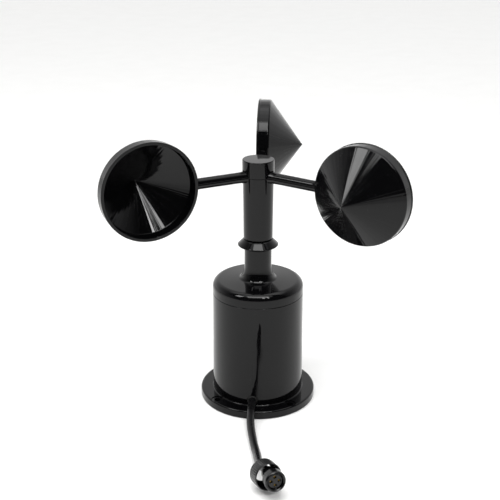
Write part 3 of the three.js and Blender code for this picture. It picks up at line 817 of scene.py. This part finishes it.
def flare_corners(sizes, crown_radius=13.2, neck_start=97.6, steps=12):
    """The quarter ellipse that sweeps from the crown up into the neck."""
    wide = crown_radius - sizes.neck_radius
    tall = neck_start - sizes.crown
    angles = [QUARTER * i / steps for i in range(steps + 1)]
    return [(crown_radius - wide * math.sin(a), neck_start - tall * math.cos(a)) for a in angles]


class ANEMOMETER_OT_cover(bpy.types.Operator):
    """Mould the top cover: rounded shoulder, flare, neck and the spigot inside the wall"""

    bl_idname = "anemometer.cover"
    bl_label = "Top cover"

    def execute(self, context):
        s = in_millimetres(context.scene.anemometer_housing)
        spigot, spigot_inside, spigot_end = 27.9, 25.5, 72.4
        tube, ceiling = NECK_BORE, 83.2
        corners = [
            (spigot_inside, spigot_end),
            (spigot, spigot_end, 0.4),
            (spigot, s.seam),
            (s.wall_radius, s.seam, 0.4),
            (s.wall_radius, 86.35, 4.6, 12),
            *flare_corners(s),
            (s.neck_radius, s.neck_top),
            (tube, s.neck_top),
            (tube, ceiling),
            (23, ceiling),
            (spigot_inside, 80.7),
        ]
        shape = turned(corners, 160)
        finish_piece("top_cover_moulding", shape, "gloss", "stator", "top_cover")
        return {"FINISHED"}


class ANEMOMETER_OT_collar(bpy.types.Operator):
    """Mould the drip collar that stands out under the hub"""

    bl_idname = "anemometer.collar"
    bl_label = "Drip collar"

    def execute(self, context):
        top = in_millimetres(context.scene.anemometer_housing).neck_top
        corners = [
            (9.45, top - 2.6),
            (10.3, top - 2.6, 0.3),
            (12.1, top - 0.6, 1.0),
            (13.2, top - 1.1, 0.2),
            (13.6, top - 0.7, 0.3),
            (13.5, top - 0.3, 0.3),
            (10.1, top + 3.1, 0.5),
            (9.5, top + 3.5, 0.3),
            (NECK_BORE, top + 3.5, 0.2),
            (NECK_BORE, top + 0.05),
            (9.45, top + 0.05),
        ]
        shape = turned(corners, 128)
        finish_piece("collar_moulding", shape, "gloss", "stator", "drip_collar")
        return {"FINISHED"}


# ---------------------------------------------------------------- rotor

ARM_UPPER, ARM_LOWER = 3.5, 3.72


def arm_shape(sizes):
    """One arm along +X: a round bar whose lower half stands proud at the parting line."""
    bm = bmesh.new()
    bmesh.ops.create_circle(bm, cap_ends=True, segments=64, radius=ARM_UPPER)
    lower = [vert for vert in bm.verts if vert.co.x > 0.001]
    bmesh.ops.scale(bm, vec=(ARM_LOWER / ARM_UPPER,) * 3, verts=lower)
    placed(bm, Matrix.Rotation(QUARTER, 4, "Y"))
    end = sizes.cup_offset - sizes.cup_radius + 0.8
    # Each stage gives how far along the arm a ring sits, and how much it swells there.
    root = [(6.0, 1.22), (9.0, 1.17), (11.0, 1.08), (13.5, 1.0)]
    socket = [(end - 3.2, 1.0), (end - 1.2, 1.04), (end, 1.14)]
    stages = root + socket
    start, first_swell = stages[0]
    face = bm.faces[:]
    ring = bm.verts[:]
    bmesh.ops.translate(bm, vec=(start, 0, 0), verts=ring)
    bmesh.ops.scale(bm, vec=(1, first_swell, first_swell), verts=ring)
    for (before, swell), (after, wanted) in zip(stages, stages[1:]):
        grown = bmesh.ops.extrude_face_region(bm, geom=face)["geom"]
        # The first face closes the arm's root; the later ones would be left inside it.
        if before != start:
            bmesh.ops.delete(bm, geom=face, context="FACES_ONLY")
        face = [item for item in grown if isinstance(item, bmesh.types.BMFace)]
        ring = [item for item in grown if isinstance(item, bmesh.types.BMVert)]
        bmesh.ops.translate(bm, vec=(after - before, 0, 0), verts=ring)
        ratio = wanted / swell
        bmesh.ops.scale(bm, vec=(1, ratio, ratio), verts=ring)
    bmesh.ops.recalc_face_normals(bm, faces=bm.faces[:])
    return placed(bm, shift(z=sizes.arm_height))


def rotor_angles(sizes):
    return evenly(sizes.cup_count, sizes.rest_angle)


class ANEMOMETER_OT_hub(bpy.types.Operator):
    """Mould the hub's sleeve with its arms, and the cap that closes it"""

    bl_idname = "anemometer.hub"
    bl_label = "Hub and arms"

    def execute(self, context):
        s = in_millimetres(context.scene.anemometer_rotor)
        seam = s.arm_height - 0.15
        sleeve = turned(
            [
                (8.4, s.hub_bottom, 0.3),
                (9.75, s.hub_bottom, 1.0, 8),
                (10.12, seam, 0.25),
                (8.5, seam),
                (8.5, 168),
                (6.3, 168),
                (6.3, 161.5),
                (2.05, 161.5),
                (2.05, 145.3),
                (3.1, 145.3),
                (3.1, 150),
                (8.4, 150),
            ],
            128,
        )
        arms = [placed(arm_shape(s), turn_z(angle)) for angle in rotor_angles(s)]
        arms_clear = combined(gathered(arms), [cylinder(8.2, 140, 175, 96)])
        shape = combined(sleeve, [arms_clear], "UNION")
        finish_piece("hub_moulding", shape, "gloss", "rotor", "rotor_hub")

        lid = turned(
            [
                (8.8, s.arm_height),
                (s.cap_radius, s.arm_height, 0.2),
                (s.cap_radius, s.cap_top, 0.6, 6),
                (0, s.cap_top),
                (0, s.cap_top - 1.7),
                (8.8, s.cap_top - 1.7),
            ],
            128,
        )
        across = Matrix.Rotation(QUARTER, 4, "Y")
        notches = [
            placed(cylinder(4.45, 6, 14, 64), turn_z(angle) @ shift(z=s.arm_height) @ across)
            for angle in rotor_angles(s)
        ]
        shape = combined(lid, [gathered(notches)])
        finish_piece("cap_moulding", shape, "gloss", "rotor", "hub_cap")
        return {"FINISHED"}


def mark_flow(bm):
    """Store each corner's direction round the cup's own axis, for the flow lines of its plastic."""
    around = bm.loops.layers.uv.new("flow")
    for face in bm.faces:
        centre = face.calc_center_median().xy
        for loop in face.loops:
            direction = loop.vert.co.xy if loop.vert.co.xy.length > 0.01 else centre
            loop[around].uv = direction.normalized()
    return bm


def cup_shape(sizes):
    """One cup about Z, mouth down: lipped band, then a pointed cone with a thin even wall."""
    outer, skin, band, mouth, apex = sizes.cup_radius, 1.7, 4.1, -4.3, 27.2
    slope = math.atan2(outer, apex - band)
    tip_inside = apex - skin / math.sin(slope)
    tip_round = 0.9
    return turned(
        [
            (outer - skin, mouth, 0.3),
            (outer + 0.35, mouth, 0.25),
            (outer + 0.35, mouth + 1.3, 0.25),
            (outer, mouth + 1.5, 0.15),
            (outer, band - 0.6, 0.35),
            (outer - 0.5, band + 0.3, 0.25),
            (tip_round, apex - 0.7, 0.6),
            (0, apex),
            (0, tip_inside),
            (tip_round, tip_inside - tip_round / math.tan(slope), 0.6),
            (outer - skin, band - 0.5, 0.8),
        ],
        192,
    )


class ANEMOMETER_OT_cups(bpy.types.Operator):
    """Mould the conical cups and hang them on their arms"""

    bl_idname = "anemometer.cups"
    bl_label = "Cups"

    def execute(self, context):
        s = in_millimetres(context.scene.anemometer_rotor)
        for number, angle in enumerate(rotor_angles(s), 1):
            on_side = Matrix.Rotation(QUARTER, 4, "X")
            place = turn_z(angle) @ shift(s.cup_offset, 0, s.arm_height) @ on_side
            shape = placed(mark_flow(cup_shape(s)), place)
            finish_piece(f"cup_moulding_{number}", shape, "cup", "rotor", f"cup_{number}")
        return {"FINISHED"}


# ---------------------------------------------------------------- plug

# Where the plug's face and the nut's mouth are, their heading over the floor and their tilt.
PLUG_PLACE = aimed((26, -131.3, 13.7), math.radians(-64.5), math.radians(9.5))
NUT_PLACE = aimed((21, -122.6, 11), math.radians(-61.4), math.radians(12.5))
CONTACT_CIRCLE = 2.6


def ribbed_nut(radius, length, ribs):
    """A thin coupling nut: open mouth, lip at the back, finger ribs and a thread drawn as rings."""
    bore, thread_tip, lip = 8.0, 7.75, 5.6
    thread = []
    for i in range(6):
        z = -1.4 - i
        thread += [(bore, z), (thread_tip, z - 0.35), (thread_tip, z - 0.5), (bore, z - 0.85)]
    shell = turned(
        [
            (lip, -length, 0.2),
            (radius - 0.8, -length, 0.6),
            (radius - 0.15, -length + 0.9, 0.3),
            (radius - 0.15, -0.9, 0.3),
            (radius - 0.6, 0, 0.3),
            (bore, 0, 0.15),
            *thread,
            (bore, -length + 1.2),
            (lip, -length + 1.2, 0.2),
        ],
        160,
    )
    grooves = []
    for angle in evenly(ribs):
        groove = cylinder(0.34, -length + 1.3, -1.2, 12)
        grooves.append(placed(groove, turn_z(angle) @ shift(radius)))
    return combined(shell, [gathered(grooves)])


class ANEMOMETER_OT_plug(bpy.types.Operator):
    """Build the plug: barrel, contact carrier, contacts and the loose coupling nut"""

    bl_idname = "anemometer.plug"
    bl_label = "Plug"

    def execute(self, context):
        lead = context.scene.anemometer_lead
        s = in_millimetres(lead)
        barrel = s.barrel_radius
        body = turned(
            [
                (2.95, -15, 0.3),
                (4.2, -15, 0.4),
                (4.9, -7.6, 0.8),
                (barrel - 0.2, -6.2, 0.3),
                (barrel, -5.7, 0.2),
                (barrel, -0.8, 0.5, 6),
                (barrel - 0.8, 0, 0.3),
                (5.35, 0, 0.15),
                (4.75, -0.6, 0.15),
                (4.75, -6.4),
                (0, -6.4),
                (0, -10.5),
                (2.95, -10.5),
            ],
            128,
        )
        key_ridge = box(0.9, 1.1, 4.6, (4.55, 0, -3.2))
        body = combined(body, [key_ridge], "UNION")
        shape = placed(body, PLUG_PLACE)
        barrel_piece = finish_piece("plug_barrel", shape, "satin", "stator", "plug_body")

        carrier = turned([(0, -6.3), (4.45, -6.3), (4.45, -1.6, 0.25), (0, -1.6)], 96)
        holes = []
        for angle in evenly(4, QUARTER):
            hole = turned([(0, -5.7), (0.8, -5.7), (0.8, -1.9), (1.15, -1.5), (1.15, -1), (0, -1)], 32)
            holes.append(placed(hole, turn_z(angle) @ shift(CONTACT_CIRCLE)))
        slot = box(1.2, 1.4, 7, (4.5, 0, -3.5))
        shape = placed(combined(carrier, [gathered(holes), slot]), PLUG_PLACE)
        carrier_piece = finish_piece("contact_carrier", shape, "chip", "stator", "plug_insert")

        nut = placed(ribbed_nut(s.nut_radius, s.nut_length, s.rib_count), NUT_PLACE)
        nut_piece = finish_piece("ribbed_coupling_nut", nut, "satin", "nut", "coupling_nut")

        for number, angle in enumerate(evenly(4, QUARTER), 1):
            wall, bore = 0.5, 0.32
            socket = turned(
                [(0, -5.5), (wall, -5.5), (wall, -2.6, 0.1), (bore, -2.6), (bore, -4.6), (0, -4.6)], 24
            )
            shape = placed(socket, PLUG_PLACE @ turn_z(angle) @ shift(CONTACT_CIRCLE))
            contact = finish_piece(
                f"contact_socket_{number}", shape, "brass", "stator", f"plug_contact_{number}"
            )
        return {"FINISHED"}


# ---------------------------------------------------------------- pieces kept from the frame

BEARING_PARTS = [
    f"{place}_bearing_{part}"
    for part in ("outer_ring", "inner_ring", "ball_cage")
    for place in ("lower", "upper")
]
KEPT_FINISHES = {
    "rubber": ("bottom_gasket", "cover_seal", "cable_grommet"),
    "jacket": ("inner_wires",),
    "bearing": (*BEARING_PARTS, "shaft"),
    "zinc": (
        "retaining_ring",
        "shaft_circlip",
        "slotted_disc",
        "disc_grub_screw",
        "hub_washer",
        "hub_screw",
        *numbered("cover_screw", 3),
        *numbered("board_screw", 3),
    ),
    "aluminium": ("bearing_tube", "bearing_spacer", "capacitor"),
    "brass": ("disc_boss", *numbered("board_pillar", 3)),
    "board": ("circuit_board",),
    "chip": ("optical_fork", "microcontroller", "voltage_regulator"),
    "socket": ("board_socket",),
}


class ANEMOMETER_OT_inner_parts(bpy.types.Operator):
    """Give the bearings, shaft, board and fasteners inside their finishes"""

    bl_idname = "anemometer.inner_parts"
    bl_label = "Inner parts"

    def execute(self, context):
        for finish, names in KEPT_FINISHES.items():
            for name in names:
                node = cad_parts[name]
                for slot in node.material_slots:
                    slot.material = MATERIALS[finish]
        return {"FINISHED"}


# ---------------------------------------------------------------- panel and run

OPERATORS = (
    ANEMOMETER_OT_stage,
    ANEMOMETER_OT_cable,
    ANEMOMETER_OT_housing,
    ANEMOMETER_OT_bottom,
    ANEMOMETER_OT_cover,
    ANEMOMETER_OT_collar,
    ANEMOMETER_OT_hub,
    ANEMOMETER_OT_cups,
    ANEMOMETER_OT_plug,
    ANEMOMETER_OT_inner_parts,
)
SETTINGS = {
    "anemometer_housing": HousingSizes,
    "anemometer_rotor": RotorSizes,
    "anemometer_lead": LeadSizes,
    "anemometer_finishes": Finishes,
    "anemometer_studio": StudioSettings,
}


class ANEMOMETER_PT_panel(bpy.types.Panel):
    """Lists the pieces of the anemometer and their settings"""

    bl_idname = "ANEMOMETER_PT_panel"
    bl_label = "Cup Anemometer"
    bl_space_type = "VIEW_3D"
    bl_region_type = "UI"
    bl_category = "Anemometer"

    def draw(self, context):
        for operator in OPERATORS:
            self.layout.operator(operator.bl_idname)
        for name in SETTINGS:
            group = getattr(context.scene, name)
            section = self.layout.box()
            for key in type(group).__annotations__:
                section.prop(group, key)


def register():
    for group in SETTINGS.values():
        bpy.utils.register_class(group)
    for cls in (*OPERATORS, ANEMOMETER_PT_panel):
        bpy.utils.register_class(cls)
    for name, group in SETTINGS.items():
        setattr(bpy.types.Scene, name, PointerProperty(type=group))


def unregister():
    for name in SETTINGS:
        delattr(bpy.types.Scene, name)
    for cls in (ANEMOMETER_PT_panel, *reversed(OPERATORS)):
        bpy.utils.unregister_class(cls)
    for group in reversed(SETTINGS.values()):
        bpy.utils.unregister_class(group)


def main():
    register()
    for operator in OPERATORS:
        family, action = operator.bl_idname.split(".")
        getattr(getattr(bpy.ops, family), action)()


if __name__ == "__main__":
    main()
